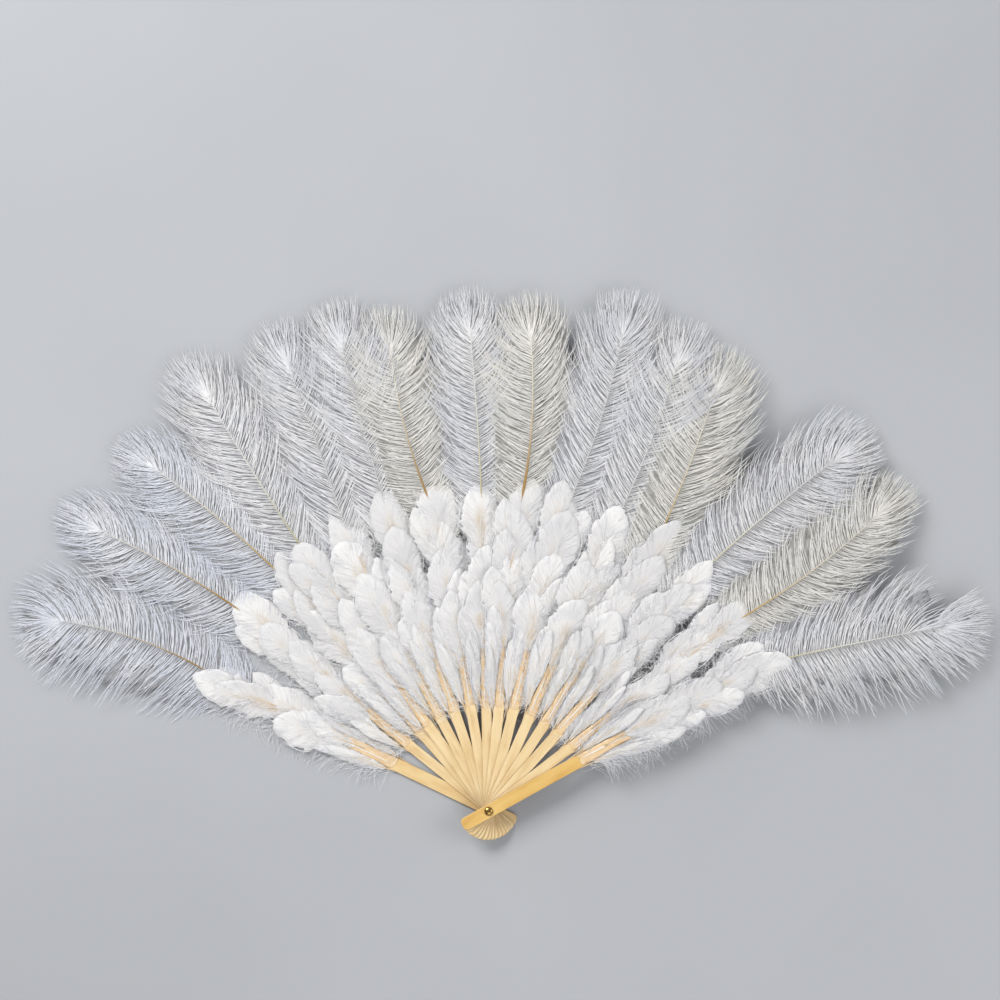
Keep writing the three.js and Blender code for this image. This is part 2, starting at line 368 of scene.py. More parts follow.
def bamboo(name, light, middle, dark, roughness):
    finish = Finish(name, roughness, Coat_Weight=0.12, Coat_Roughness=0.35)
    fibre = finish.noise(finish.uv(0.6, 9.0, 1.0), 3.0, 8.0, 0.62)
    wide = finish.noise(finish.uv(), 1.3, 2.0)
    both = finish.math("MULTIPLY", finish.math("ADD", fibre, wide), 0.5)
    colour = finish.ramp(both, (0.32, dark), (0.5, middle), (0.66, light))
    upward = finish.part(finish.node("NewGeometry")["Normal"], "Z")
    # Painted shade: faces that turn away from up are blended towards a darker brown.
    colour = finish.blend(finish.between(upward, 0.3, 0.95, 0.8, 0.0), colour, SIDE_SHADE)
    return finish.paint(colour, fibre, 0.25, 0.00012)


stick_bamboo = bamboo("stick_bamboo", (243, 221, 176), (234, 206, 154), (206, 170, 114), 0.5)
front_bamboo = bamboo("front_bamboo", (235, 199, 124), (227, 186, 107), (208, 160, 80), 0.38)
rear_bamboo = bamboo("rear_bamboo", (239, 215, 160), (231, 199, 142), (213, 173, 112), 0.42)
print("bamboo finishes", stick_bamboo.name, front_bamboo.name, rear_bamboo.name)

# %% [markdown]
# ## Sticks and guards
#
# A stick is a flat strip with a rounded tail behind the rivet. Its upper half is pared thinner, where the
# feathers are glued on. The strip starts as one face with the outline's few corners, is raised to its
# thickness, cut across twice where the paring begins, and bevelled so that its edges catch the light.

# %% Outline of a stick
STICK_WIDTH = 8.2
GUARD_WIDTH = 10.4
TAIL_RADIUS = 24.0
TAIL_CORNER = 3.4
RIB_TIP_RADIUS = 236.0
RIB_TIP_WIDTH = 5.0
RIB_THICKNESS = 0.5
SEAT_START = 80.0
SEAT_RAMP = 6.0
EDGE_ROUNDING = 0.34
SHARP_ANGLE = math.radians(50)


def half_stick(blade):
    return (GUARD_WIDTH if blade.is_guard else STICK_WIDTH) / 2


def stick_outline(half):
    turn = math.asin((half - TAIL_CORNER) / TAIL_RADIUS)
    corner_x = -math.sqrt(TAIL_RADIUS ** 2 - half ** 2)
    end_x, end_y = -TAIL_RADIUS * math.cos(turn), TAIL_RADIUS * math.sin(turn)
    corner = []
    for share in (0.0, 0.33, 0.67):
        early, late = (1 - share) ** 2, share ** 2
        x = early * TAIL_CORNER + (1 - late) * corner_x + late * end_x
        corner.append((x, (1 - late) * half + late * end_y))
    tail = [(-TAIL_RADIUS * math.cos(a), TAIL_RADIUS * math.sin(a)) for a in np.linspace(turn, -turn, 5)]
    tip_x = RIB_TIP_RADIUS - RIB_TIP_WIDTH / 2
    lower = [(x, -y) for x, y in reversed(corner)]
    tip = [(tip_x, -RIB_TIP_WIDTH / 2), (RIB_TIP_RADIUS, 0.0), (tip_x, RIB_TIP_WIDTH / 2)]
    return corner + tail + lower + [(SEAT_START, -half)] + tip + [(SEAT_START, half)]


# %% Make the sticks
GRAIN_LENGTH = 40.0
GRAIN_WIDTH = 10.0
GRAIN_SHIFT = 7.3


def stick_mesh(blade):
    bm = bmesh.new()
    bm.faces.new([bm.verts.new((x, y, 0.0)) for x, y in stick_outline(half_stick(blade))])
    thicken(bm, blade.thickness)
    for cut in (SEAT_START, SEAT_START + SEAT_RAMP):
        geometry = list(bm.verts) + list(bm.edges) + list(bm.faces)
        bmesh.ops.bisect_plane(bm, geom=geometry, dist=1e-5, plane_co=(cut, 0, 0), plane_no=(1, 0, 0))
    for vert in bm.verts:
        if vert.co.z > 0 and vert.co.x > SEAT_START + SEAT_RAMP - 0.01:
            vert.co.z = RIB_THICKNESS
    bmesh.ops.recalc_face_normals(bm, faces=bm.faces)
    sharp = [e for e in bm.edges if e.is_manifold and e.calc_face_angle() > SHARP_ANGLE]
    bmesh.ops.bevel(bm, geom=sharp, offset=EDGE_ROUNDING, offset_type="OFFSET", affect="EDGES", segments=2,
                    profile=0.5, material=-1, clamp_overlap=True)
    shift = blade.number * GRAIN_SHIFT
    map_uv(bm, lambda corner: (corner.x / GRAIN_LENGTH + shift, (corner.y + corner.z) / GRAIN_WIDTH))
    move_corners(bm, blade.place(corners(bm)))
    return to_mesh(bm, blade.stick + "_strip")


GUARD_SKINS = {1: rear_bamboo, BLADE_COUNT: front_bamboo}
for blade in blades:
    mesh = stick_mesh(blade)
    skin = GUARD_SKINS.get(blade.number, stick_bamboo)
    finish_piece(mesh, blade, skin, stands_for=blade.stick, smooth=False)
print("sticks", BLADE_COUNT, "with", len(mesh.polygons), "faces each")

# %% [markdown]
# ## Rivet
#
# The rivet's front head is a small polished brass dome. It is a profile turned about the pivot: spin
# makes the full turn, and the two ends of the profile lie on the axis, so the dome closes at its top.

# %% Brass and the rivet's dome
DOME_EDGE = 0.28
RIM_SHARE = 0.94
RIM_HEIGHT = 0.2
DOME_STEPS = 40


def polished_brass():
    finish = Finish("polished_brass", 0.2, Metallic=1.0)
    blotch = finish.noise(finish.place(), 900.0, 4.0)
    dull = finish.between(blotch, 0.0, 1.0, 0.14, 0.3, "LINEAR")
    finish.tree.links.new(dull, finish.shader.inputs["Roughness"])
    return finish.paint(finish.ramp(blotch, (0.3, (136, 104, 52)), (0.7, (196, 162, 96))))


def dome_mesh(low, high, radius):
    edge = low + (high - low) * DOME_EDGE
    profile = [(0.0, low), (radius * RIM_SHARE, low), (radius, low + RIM_HEIGHT), (radius, edge)]
    for angle in np.linspace(0, math.pi / 2, 9)[1:]:
        profile.append((radius * math.cos(angle), edge + (high - edge) * math.sin(angle)))
    profile[-1] = (0.0, high)
    bm = bmesh.new()
    line = [bm.verts.new((r * MM, 0, z * MM)) for r, z in profile]
    edges = [bm.edges.new(pair) for pair in zip(line, line[1:])]
    bmesh.ops.spin(bm, geom=line + edges, cent=(0, 0, 0), axis=(0, 0, 1), angle=2 * math.pi,
                   steps=DOME_STEPS, use_merge=True)
    bmesh.ops.remove_doubles(bm, verts=bm.verts, dist=1e-6)
    bmesh.ops.recalc_face_normals(bm, faces=bm.faces)
    return to_mesh(bm, "rivet_dome")


brass = polished_brass()
cap_low, cap_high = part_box("rivet_cap")
mesh = dome_mesh(cap_low[2] / MM, cap_high[2] / MM, cap_high[0] / MM)
finish_piece(mesh, blades[0], brass, stands_for="rivet_cap")
post = frame["nodes"]["rivet_post"]
post.data.materials.clear()
post.data.materials.append(brass)
print("rivet dome", len(mesh.polygons), "faces")

# %% [markdown]
# ## Feather finishes
#
# A body feather's vane is a closed sheet of barbs lying side by side, so fine streaks run out from its
# shaft. Its UV map runs across the barbs in one direction and along them in the other, so the streaks can
# follow it. Each vane has its own tone. Painted shade greys it towards its root, where it lies under the
# next feather's tip, and painted light whitens its tip; a painted highlight runs along its rims. Along
# the middle the shaft and the bamboo under it show through as a peach stain.

# %% Finish of a vane
def vane_finish():
    finish = Finish("white_vane", 0.6, Sheen_Weight=0.2, Sheen_Roughness=0.6)
    streak = finish.noise(finish.uv(2.0, 34.0, 1.0), 1.0, 4.0, 0.6)
    cloud = finish.noise(finish.place(), 60.0, 3.0)
    along = finish.attribute("along")
    tone = finish.attribute("tone")
    side = finish.math("ABSOLUTE", finish.math("SUBTRACT", finish.part(finish.uv(), "X"), 0.5))
    white = finish.ramp(streak, (0.3, (206, 205, 204)), (0.5, (229, 226, 222)), (0.7, (244, 243, 240)))
    # Painted light whitens the tip, and painted shade greys the root where the next feather covers it.
    for factor, shade in (((along, 0.5, 0.95, 0.0, 0.75), (235, 234, 232)),
                          ((along, 0.3, 0.72, 0.5, 0.0), (212, 209, 206)),
                          ((cloud, 0.45, 0.7, 0.0, 0.6), (204, 204, 207)),
                          # Painted highlight: the rims are blended to white.
                          ((side, 0.44, 0.5, 0.0, 0.85), (250, 250, 250)),
                          ((tone, 0.1, 1.0, 0.0, 0.55), (206, 205, 205))):
        white = finish.blend(finish.between(*factor), white, shade)
    stain = finish.between(along, 0.4, 0.78, 1.0, 0.0)
    for factor in ((side, 0.02, 0.2, 1.0, 0.0), (cloud, 0.35, 0.6, 0.85, 0.05),
                   (streak, 0.36, 0.6, 0.35, 1.0)):
        stain = finish.math("MULTIPLY", stain, finish.between(*factor))
    return finish.paint(finish.blend(stain, white, (196, 174, 140)), streak, 0.2, 0.0003)


# %% [markdown]
# Plume barbs are loose and downy: nearly white, cool in the open and ivory near the quill. The felt
# between them is painted grey with dark streaks: painted shade, which stands for the shadow in the gaps
# between barbs. A quill is horn, brown or golden at its root and pale at its tip.

# %% Finishes of barbs, felt and quills
def barb_finish(name, cool, warm, root):
    finish = Finish(name, 0.7, Sheen_Weight=0.3, Sheen_Roughness=0.5)
    tint = finish.ramp(finish.noise(finish.place(), 28.0, 2.0), (0.35, cool), (0.65, warm))
    near = finish.between(finish.part(finish.uv(), "X"), 0.0, 0.3, 0.5, 0.0)
    return finish.paint(finish.blend(near, tint, root))


# Painted shade: the felt's grey and its dark streaks stand for the shadow between barbs.
def felt_and_shade_finish(name, light, dark):
    finish = Finish(name, 0.8, Sheen_Weight=0.2, Sheen_Roughness=0.5)
    streak = finish.noise(finish.uv(4.0, 110.0, 1.0), 1.0, 4.0, 0.65)
    return finish.paint(finish.ramp(streak, (0.36, dark), (0.62, light)), streak, 0.35, 0.0006)


def quill_finish(name, root, tip, fade):
    finish = Finish(name, 0.35, Coat_Weight=0.2, Coat_Roughness=0.3)
    cloud = finish.noise(finish.place(), 220.0, 3.0)
    along = finish.math("MULTIPLY_ADD", cloud, 0.15, finish.part(finish.uv(), "X"))
    return finish.paint(finish.ramp(along, (fade * 0.45, root), (fade, tip)))


white_vane = vane_finish()
plume_white = barb_finish("plume_white", (239, 240, 244), (246, 245, 245), (241, 240, 238))
plume_cool = barb_finish("plume_cool", (232, 235, 244), (242, 243, 247), (238, 239, 241))
plume_ivory = barb_finish("plume_ivory", (241, 240, 237), (246, 243, 236), (241, 236, 225))
# Painted shade: the felt colours run from mid grey down to near black.
plume_felt = felt_and_shade_finish("plume_felt", (184, 184, 187), (90, 91, 95))
ivory_felt = felt_and_shade_finish("ivory_felt", (184, 183, 178), (92, 91, 86))
down_white = barb_finish("down_white", (244, 244, 248), (250, 250, 249), (248, 246, 242))
brown_quill = quill_finish("brown_quill", (172, 134, 72), (236, 230, 212), 0.95)
golden_quill = quill_finish("golden_quill", (190, 160, 100), (238, 232, 214), 0.9)
pale_quill = quill_finish("pale_quill", (196, 188, 152), (234, 233, 226), 0.8)
feather_quill = quill_finish("feather_quill", (216, 190, 152), (240, 236, 228), 0.7)
faint_quill = quill_finish("faint_quill", (206, 205, 200), (226, 225, 223), 0.6)
white_quill = quill_finish("white_quill", (252, 248, 240), (252, 251, 249), 0.6)
print("finishes in all", len(bpy.data.materials))

# %% [markdown]
# ## Plumes
#
# Each blade ends in one ostrich plume: a thin springy quill with loose barbs along both sides. The table
# says how each plume lies: its length beyond the stick, the lean of its quill in degrees and its bow, how
# far its barbs reach to the left and the right, and how openly they stand there, in degrees. Swept barbs
# have a negative opening. The rest is the same for all.

# %% Say how each plume lies
PLUME_FIELDS = "length lean bow left right left_open right_open".split()
PLUMES = [dict(zip(PLUME_FIELDS, row)) for row in [
    (179, 9, -14, 56, 52, 22, 4),
    (189, 10, -7, 40, 38, 0, -4),
    (188, 9, -5, 42, 38, -4, -10),
    (206, -4, 2, 46, 42, -20, -28),
    (195, -8, -2, 44, 44, -34, -36),
    (193, -4, 1, 48, 46, -34, -30),
    (177, 3, 9, 46, 44, 8, 0),
    (184, 3, -2, 44, 40, -6, -8),
    (180, 4, -9, 50, 42, -2, -22),
    (198, -3, -7, 44, 46, -18, -24),
    (189, 3, -5, 44, 44, -18, -24),
    (185, 12, -3, 50, 48, -14, -24),
    (199, -9, 5, 44, 46, 0, 4),
    (192, 0, -7, 46, 38, 4, 4),
    (200, -18, 3, 50, 57, 4, 30),
]]
QUILL_END = 0.8
QUILL_SEAT = 0.6
QUILL_ARCH = 7.0
LAYER_FALL = 0.45


class Quill:
    """The line of one plume's quill in its blade's own directions, from the end of the rib to its tip."""

    def __init__(self, blade, plume):
        self.length = plume["length"]
        lean = math.radians(plume["lean"])
        self.along = np.array([math.cos(lean), math.sin(lean)])
        self.across = np.array([-self.along[1], self.along[0]])
        self.bow = plume["bow"]
        self.base = blade.thickness * QUILL_SEAT
        self.fall = LAYER_FALL * blade.floor

    def flat(self, share):
        share = np.asarray(share)[..., None]
        line = self.along * self.length * share + self.across * self.bow * 4 * share * (1 - share)
        return np.array([RIB_TIP_RADIUS, 0.0]) + line

    def bearing(self, share):
        ahead = self.flat(share + 1e-3) - self.flat(share - 1e-3)
        return np.arctan2(ahead[..., 1], ahead[..., 0])

    def height(self, share):
        share = np.asarray(share)
        arch = QUILL_ARCH * np.sin(math.pi * np.clip(share, 0, 1)) ** 1.6
        return self.base + arch - self.fall * np.clip(share, 0, 1.2) ** 2

    def beside(self, along, left):
        """Places beside the quill, so far along it and so far to its left, in mm."""
        turn = self.bearing(along / self.length)
        aside = np.stack([-np.sin(turn), np.cos(turn)], axis=-1)
        return self.flat(along / self.length) + aside * left[..., None]


lengths = [plume["length"] for plume in PLUMES]
print("plumes from", min(lengths), "to", max(lengths), "mm long")

# %% [markdown]
# One side of a plume is drawn for all its barbs at once. Their ends stand evenly along the plume's outline,
# which runs beside the quill and closes over its tip in a broad dome. Each barb leaves the quill nearly
# square and bends over towards its end in an arc, and the last ones fan out past the quill and make a
# round brush. The outer sides of the first and the last plume begin narrower, and the last plume has a
# notch in its upper side, where the outline comes in towards the quill.

# %% Outlines and arcs
def domed_outline(length, half_width, start, start_width, widest, dome_start, roundness):
    """One side of a feather's outline to its tip: how far along, how far out, and the way walked."""
    dome = dome_start * length
    turn = np.linspace(math.pi / 2, 0, 80)
    side_along = np.linspace(start, dome, 40)
    widening = np.sin(math.pi / 2 * np.clip((side_along - start) / (widest * (dome - start)), 0, 1))
    along = np.concatenate([side_along, dome + (length - dome) * np.cos(turn) ** roundness])
    widths = np.concatenate([start_width + (1 - start_width) * widening, np.sin(turn) ** roundness])
    walked = np.concatenate([[0.0], np.cumsum(np.hypot(np.diff(along), half_width * np.diff(widths)))])
    return along, half_width * widths, walked


def around(outline, share):
    """How far along and how far out an outline is at shares of the way round it."""
    along, out, walked = outline
    return np.interp(share * walked[-1], walked, along), np.interp(share * walked[-1], walked, out)


def arcs(root, along, out, curl, share):
    """Barbs that leave the shaft at their roots and bend over to their ends in arcs."""
    chord = np.arctan2(out, along - root)
    curl = curl * np.clip(chord / math.radians(30), -1, 1)
    reach = np.hypot(out, along - root) / 2 / np.cos(curl)
    early, late = 2 * share * (1 - share), share ** 2
    return (root + early * reach * np.cos(chord + curl) + late * (along - root),
            early * reach * np.sin(chord + curl) + late * out)


# %% Describe one side of a plume
BARB_LEAD = 38.0
OPENING_LEAD = 1.2
HIDDEN_SHARE = 0.14
WIDEST = 0.6
DOME_START = 0.6
DOME_ROUNDNESS = 0.83
BARB_CURL = 28.0
BARB_LIFT = 2.5
FOOT = 0.6
NARROW_FEET = {(1, 1): 0.42, (15, -1): 0.12}
NO_NOTCH = (0.5, 1.0, 0.0)
NOTCHES = {(15, 1): (0.79, 0.06, 0.85)}


class PlumeSide:
    """One side of a plume: where its barbs start on the quill, where they end, and how they bend."""

    def __init__(self, number, quill, side, half_width, opening):
        self.quill = quill
        self.side = side
        self.notch = NOTCHES.get((number, side), NO_NOTCH)
        foot = NARROW_FEET.get((number, side), FOOT)
        self.begin = -HIDDEN_SHARE * quill.length
        self.lead = BARB_LEAD - OPENING_LEAD * opening + self.begin
        self.outline = domed_outline(quill.length, half_width, self.lead, foot, WIDEST, DOME_START,
                                     DOME_ROUNDNESS)
        self.round = self.outline[2][-1]
        self.curl = math.radians(BARB_CURL - max(0.9 * opening, -0.28 * opening))
        self.droop = 4.0 + quill.fall * 0.6

    def ends(self, share):
        """Root, and place along and out of the end, of the barbs at shares of the way round the outline."""
        along, out = around(self.outline, share)
        middle, width, depth = self.notch
        out = out * (1 - depth * np.exp(-((share - middle) / width) ** 4))
        ahead = (along - self.lead) / (self.quill.length - self.lead)
        return self.begin + (QUILL_END * self.quill.length - self.begin) * ahead, along, out

    def height(self, root, reach, lift, droop):
        """Height along barbs, which rise from the quill and droop at their ends."""
        rise = lift * np.clip(0.2 + root / 40, 0.1, 1)
        return self.quill.height(root / self.quill.length) + rise * reach - droop * reach ** 2


# %% [markdown]
# Neighbouring barbs cling together into tufts, so their ends gather in points with gaps between, and a
# few strays cross over. The barbs of a tuft share a shift, a sway and a lift, and each adds a little of
# its own.

# %% Lay the barbs of one side
BARB_POINTS = 7
BARB_SHARE = np.linspace(0, 1, BARB_POINTS)
END_SPACING = 0.85
ROOT_SCATTER = 0.3
END_SCATTER = 2.0
TUFT_SIZES = (2, 11)
TUFT_SHIFT = 2.6
TUFT_SWAY = 1.2
OWN_SWAY = 0.9
STRAY_SHARE = 0.08


def wave(turns):
    return np.sin(2 * math.pi * turns)


def barb_side(part, rng):
    """Lines of all the barbs of one side, and their headings."""
    quill = part.quill
    stops = np.arange(0, part.round, END_SPACING) / part.round
    root, along, out = part.ends(stops)
    count = len(stops)
    root = root + rng.normal(0, ROOT_SCATTER, count)
    tuft = np.repeat(np.arange(count), rng.integers(*TUFT_SIZES, count))[:count]
    middle = np.array([along[tuft == t].mean() for t in range(tuft.max() + 1)])[tuft]
    below_tip = np.clip((quill.length - along) / 40, 0.25, 1)
    shift = rng.uniform(0.0, 0.5, count)[tuft] * (middle - along) + rng.normal(0, TUFT_SHIFT, count)[tuft]
    stray = (rng.random(count) < STRAY_SHARE) * rng.normal(-4, 10, count)
    along = np.minimum(along + rng.normal(0, END_SCATTER, count) + stray, quill.length + 1)
    out = out * rng.normal(1.0, 0.05, count)[tuft] * rng.uniform(0.64, 1.07, count)
    out = out + rng.normal(0, 1.2, count)
    share = BARB_SHARE
    place, left = arcs(root[:, None], along[:, None], out[:, None], part.curl, share)
    phase = rng.uniform(0, 1, count)[tuft] + rng.normal(0, 0.1, count)
    sway = TUFT_SWAY * share * wave(1.4 * share + phase[:, None])
    turns = rng.uniform(0.7, 1.9, (count, 1))
    sway = sway + OWN_SWAY * share ** 0.7 * wave(turns * share + rng.uniform(0, 1, (count, 1)))
    place = place + (shift * below_tip)[:, None] * share ** 3.5 - 0.7 * sway
    flat = quill.beside(place, part.side * (left + 0.7 * sway))
    lift = BARB_LIFT + rng.normal(0, 1.0, count)[tuft] + rng.normal(0, 0.6, count)
    droop = part.droop + rng.normal(0, 1.5, count)
    height = part.height(root[:, None], share, lift[:, None], droop[:, None])
    step = np.gradient(flat, axis=1)
    return np.concatenate([flat, height[..., None]], axis=2), np.arctan2(step[..., 1], step[..., 0])


# %% [markdown]
# A plume's barb is soft because it carries barbules, a fringe of down along both its edges. Near the
# quill the barbules of neighbouring barbs mat together into a thin felt, which ends in points towards
# the outline. The felt is a grid bent to run along the barbs, with an uneven edge and a little
# thickness, and it is coloured dark grey as painted shade, which stands for the shadow between the
# barbs. The white barbs lie on it, and finer wisps run along with them and stray from them towards
# their ends.

# %% Mat the barbules
FLOOR_GAP = 0.6
FELT_COLUMNS = 10
FELT_ROWS = 90
FELT_THICKNESS = 0.14
FELT_BELOW = 0.45
TIP_REACH = 0.5


def above_floor(blade, points):
    points[..., 2] = np.maximum(points[..., 2], FLOOR_GAP - blade.floor)
    return points


def felt_mesh(name, blade, parts, rng):
    left, right = parts
    bm = new_grid(FELT_COLUMNS, FELT_ROWS)
    map_uv(bm, lambda corner: (corner.x, corner.y))
    grid = corners(bm)
    share = (grid[:, 1] + 1) / 2
    row = np.round(share * FELT_ROWS).astype(int)
    places = np.zeros((len(grid), 3))
    for part, here in ((left, grid[:, 0] > -1e-4), (right, grid[:, 0] < -1e-4)):
        uneven = rng.uniform(0.4, 0.8, FELT_ROWS + 1)
        uneven[-1] = TIP_REACH
        reach = np.abs(grid[here, 0]) * uneven[row[here]]
        root, along, out = part.ends(share[here])
        place, aside = arcs(root, along, out, part.curl, reach)
        places[here, :2] = part.quill.beside(place, part.side * aside)
        places[here, 2] = part.height(root, reach, BARB_LIFT, part.droop) - FELT_BELOW
    move_corners(bm, above_floor(blade, places))
    thicken(bm, FELT_THICKNESS)
    move_corners(bm, blade.place(corners(bm)))
    return to_mesh(bm, name)


# %% Stray wisps
WISPS_EACH = 2
WISP_POINTS = 5
WISP_SPREAD = 2.2
WISP_RADIUS = 0.14


def wisps(lines, heading, rng):
    """Several fine strands about each line, some shorter than it."""
    lines = np.repeat(lines, WISPS_EACH, axis=0)
    heading = np.repeat(heading, WISPS_EACH, axis=0)
    count, points = heading.shape
    share = np.linspace(0, 1, WISP_POINTS)
    spot = (rng.uniform(0.0, 0.3, (count, 1)) + rng.uniform(0.5, 0.7, (count, 1)) * share) * (points - 1)
    first = np.floor(spot - 1e-6).clip(0, points - 2).astype(int)
    rest = (spot - first)[..., None]
    rows = np.arange(count)[:, None]
    heading = heading[rows, first]
    lines = lines[rows, first] * (1 - rest) + lines[rows, first + 1] * rest
    envelope = WISP_SPREAD * share ** 0.8
    turns = rng.uniform(0.4, 1.5, (count, 1))
    sideways = envelope * wave(turns * share + rng.uniform(0, 1, (count, 1)))
    upward = 0.2 + 0.6 * envelope * wave(turns * share + rng.uniform(0, 1, (count, 1)))
    offset = np.stack([-np.sin(heading) * sideways, np.cos(heading) * sideways, upward], axis=2)
    return lines + offset, WISP_RADIUS * (1.0 - 0.7 * share ** 1.6)


# %% [markdown]
# The quill runs on under the feathers to the stick, so its hidden part follows the rib. It is stoutest
# where it comes out. Some quills are brown or golden, and a few are so thin and pale that barbs hide
# them.

# %% Shape the quills
HIDDEN_QUILLS = (5, 6, 10, 11)
QUILL_OF = (dict.fromkeys((1, 2, 7, 9), brown_quill) | dict.fromkeys((3, 12, 14), golden_quill)
            | dict.fromkeys(HIDDEN_QUILLS, faint_quill))
STOUT_QUILLS = {1: 0.75, 7: 1.1, 9: 1.4, 12: 0.9, 14: 0.9} | dict.fromkeys(HIDDEN_QUILLS, 0.5)
QUILL_POINTS = 24
QUILL_RADIUS = 0.95
QUILL_TAPER = 0.85
QUILL_ROOT = -0.17
QUILL_RISE = 0.14
HIDDEN_DROP = 0.7
BARB_ABOVE = 0.4


def quill_line(blade, quill):
    """The line of a plume's quill from under the feathers, and its radii."""
    share = np.linspace(QUILL_ROOT, QUILL_END, QUILL_POINTS)
    line = np.concatenate([quill.flat(share), quill.height(share)[:, None] + BARB_ABOVE], axis=1)
    hidden = share < 0
    line[hidden, 0] = RIB_TIP_RADIUS + share[hidden] * quill.length
    line[hidden, 1] = 0.0
    line[:, 2] -= HIDDEN_DROP * np.clip(1 - share / QUILL_RISE, 0, 1)
    thick = QUILL_RADIUS * STOUT_QUILLS.get(blade.number, 1.0) * np.interp(share, [0, 0.12], [0.6, 1])
    thick = thick * (1 - QUILL_TAPER * np.clip(share / QUILL_END, 0, 1))
    return above_floor(blade, line)[None], thick


# %% Make the plumes
PLUME_SEED = 100
IVORY_PLUMES = (7, 9, 12, 14)
COOL_PLUMES = (1, 2, 3)
BARB_HALF_WIDTH = 0.3
BARB_ROLL = 0.3
TAPER_AT = [0.0, 0.3, 0.6, 0.85, 1.0]
BARB_TAPER = [0.85, 1.0, 0.95, 0.75, 0.25]
barb_total = 0
for blade, plume in zip(blades, PLUMES):
    rng = np.random.default_rng(PLUME_SEED + blade.number)
    name = f"plume_{blade.label}"
    quill = Quill(blade, plume)
    parts = [PlumeSide(blade.number, quill, 1, plume["left"], plume["left_open"]),
             PlumeSide(blade.number, quill, -1, plume["right"], plume["right_open"])]
    lines, heading = (np.concatenate(both) for both in zip(*[barb_side(part, rng) for part in parts]))
    is_ivory = blade.number in IVORY_PLUMES
    white = plume_ivory if is_ivory else plume_cool if blade.number in COOL_PLUMES else plume_white
    mesh = felt_mesh(name + "_barbules", blade, parts, rng)
    finish_piece(mesh, blade, ivory_felt if is_ivory else plume_felt, stands_for=name, soft=True)
    lines = above_floor(blade, lines)
    fine, fine_radius = wisps(lines, heading, rng)
    roll = rng.normal(0, BARB_ROLL, len(lines))
    taper = BARB_HALF_WIDTH * np.interp(BARB_SHARE, TAPER_AT, BARB_TAPER)
    widths = taper * rng.uniform(0.7, 1.25, (len(lines), 1))
    lines[..., 2] += BARB_ABOVE
    strand_piece(name + "_barbs", blade, "plume", lines, widths, white, flat_section, roll)
    fine = above_floor(blade, fine)
    strand_piece(name + "_wisps", blade, "plume", fine, fine_radius, white, fine_section)
    horn = QUILL_OF.get(blade.number, pale_quill)
    strand_piece(name + "_quill", blade, "plume", *quill_line(blade, quill), horn)
    barb_total += len(lines) + len(fine)
print("plumes", len(PLUMES), "with", barb_total, "strands")

# %% [markdown]
# ## Body feathers
#
# The small feathers up each stick are closed, spoon-shaped vanes. Like a plume's, a vane's barbs leave
# its shaft and end along a domed outline, but here they cling to each other and make a sheet. So a grid,
# whose rows stand for barbs, is bent to run along them. A few rows are split open at the edges, where
# barbs have come apart. The vane is cupped, tilted up from its root, twisted and curled a little, and
# each one differs from the next.

# %% Shape one vane
VANE_START = 0.06
VANE_FOOT = 0.24
SHAFT_SHARE = 0.68
VANE_CURL = math.radians(8)


class Vane:
    def __init__(self, length, half_width, rng):
        self.length = length
        self.half_width = half_width
        self.start = VANE_START * length
        dome_start = rng.uniform(0.44, 0.56)
        roundness = rng.uniform(0.9, 1.25)
        self.outline = domed_outline(length, half_width, self.start, VANE_FOOT, 1.0, dome_start, roundness)
        self.uneven = rng.uniform(-0.1, 0.1)
        self.cup = rng.uniform(0.3, 2.0)
        self.lift = rng.uniform(1.0, 2.4)
        self.twist = math.radians(rng.normal(0, 8))
        self.bend = rng.normal(0, 2.0)
        self.rim = rng.uniform(-0.3, 1.6)
        self.rim_side = rng.choice([-1, 1])
        self.tip_curl = rng.normal(-0.6, 1.4)

    def solid(self, along, left):
        """Places on the curved vane, from places on the flat one."""
        far = along / self.length
        wide = left / self.half_width
        up = self.lift * far - self.cup * wide ** 2 + self.tip_curl * np.clip(far - 0.55, 0, 1) ** 2 * 4
        up = up + self.rim * np.clip(wide * self.rim_side - 0.3, 0, 1) ** 2 * 4
        turn = self.twist * far
        across = left * np.cos(turn) + self.bend * far ** 2
        return np.stack([along, across, up + left * np.sin(turn)], axis=-1)

    def points(self, share, reach, side):
        """Places on the vane: which barb, by its end's share of the outline, how far out, on which side."""
        along, out = around(self.outline, share)
        out = out * (1 + self.uneven * side)
        root = SHAFT_SHARE * self.length * (along - self.start) / (self.length - self.start)
        place, left = arcs(root, along, out, VANE_CURL, reach)
        return self.solid(place, side * left)


# %% Make the sheet of one vane
VANE_COLUMNS = 8
VANE_ROWS = 24
VANE_THICKNESS = 0.12
TIP_RAGGED = 0.09
ROOT_RAGGED = 0.5
SPLIT_DEPTHS = [1 / 4, 2 / 4]
NEAR = 1e-4


def split_barbs(bm, side, row, depth, opening):
    """Opens a gap between two rows of the grid, from its edge inwards."""
    level = -1 + 2 * row / VANE_ROWS
    inner = 1 - depth
    edges = []
    for edge in bm.edges:
        a, b = edge.verts
        on_row = abs(a.co.y - level) < NEAR and abs(b.co.y - level) < NEAR
        if on_row and min(a.co.x * side, b.co.x * side) > inner - NEAR:
            edges.append(edge)
    bmesh.ops.split_edges(bm, edges=edges)
    for vert in bm.verts:
        if abs(vert.co.y - level) < NEAR and vert.co.x * side > inner + NEAR:
            middle = sum(f.calc_center_median().y for f in vert.link_faces) / len(vert.link_faces)
            way = 1 if middle > level else -1
            vert.co.y += way * opening * (vert.co.x * side - inner) / depth


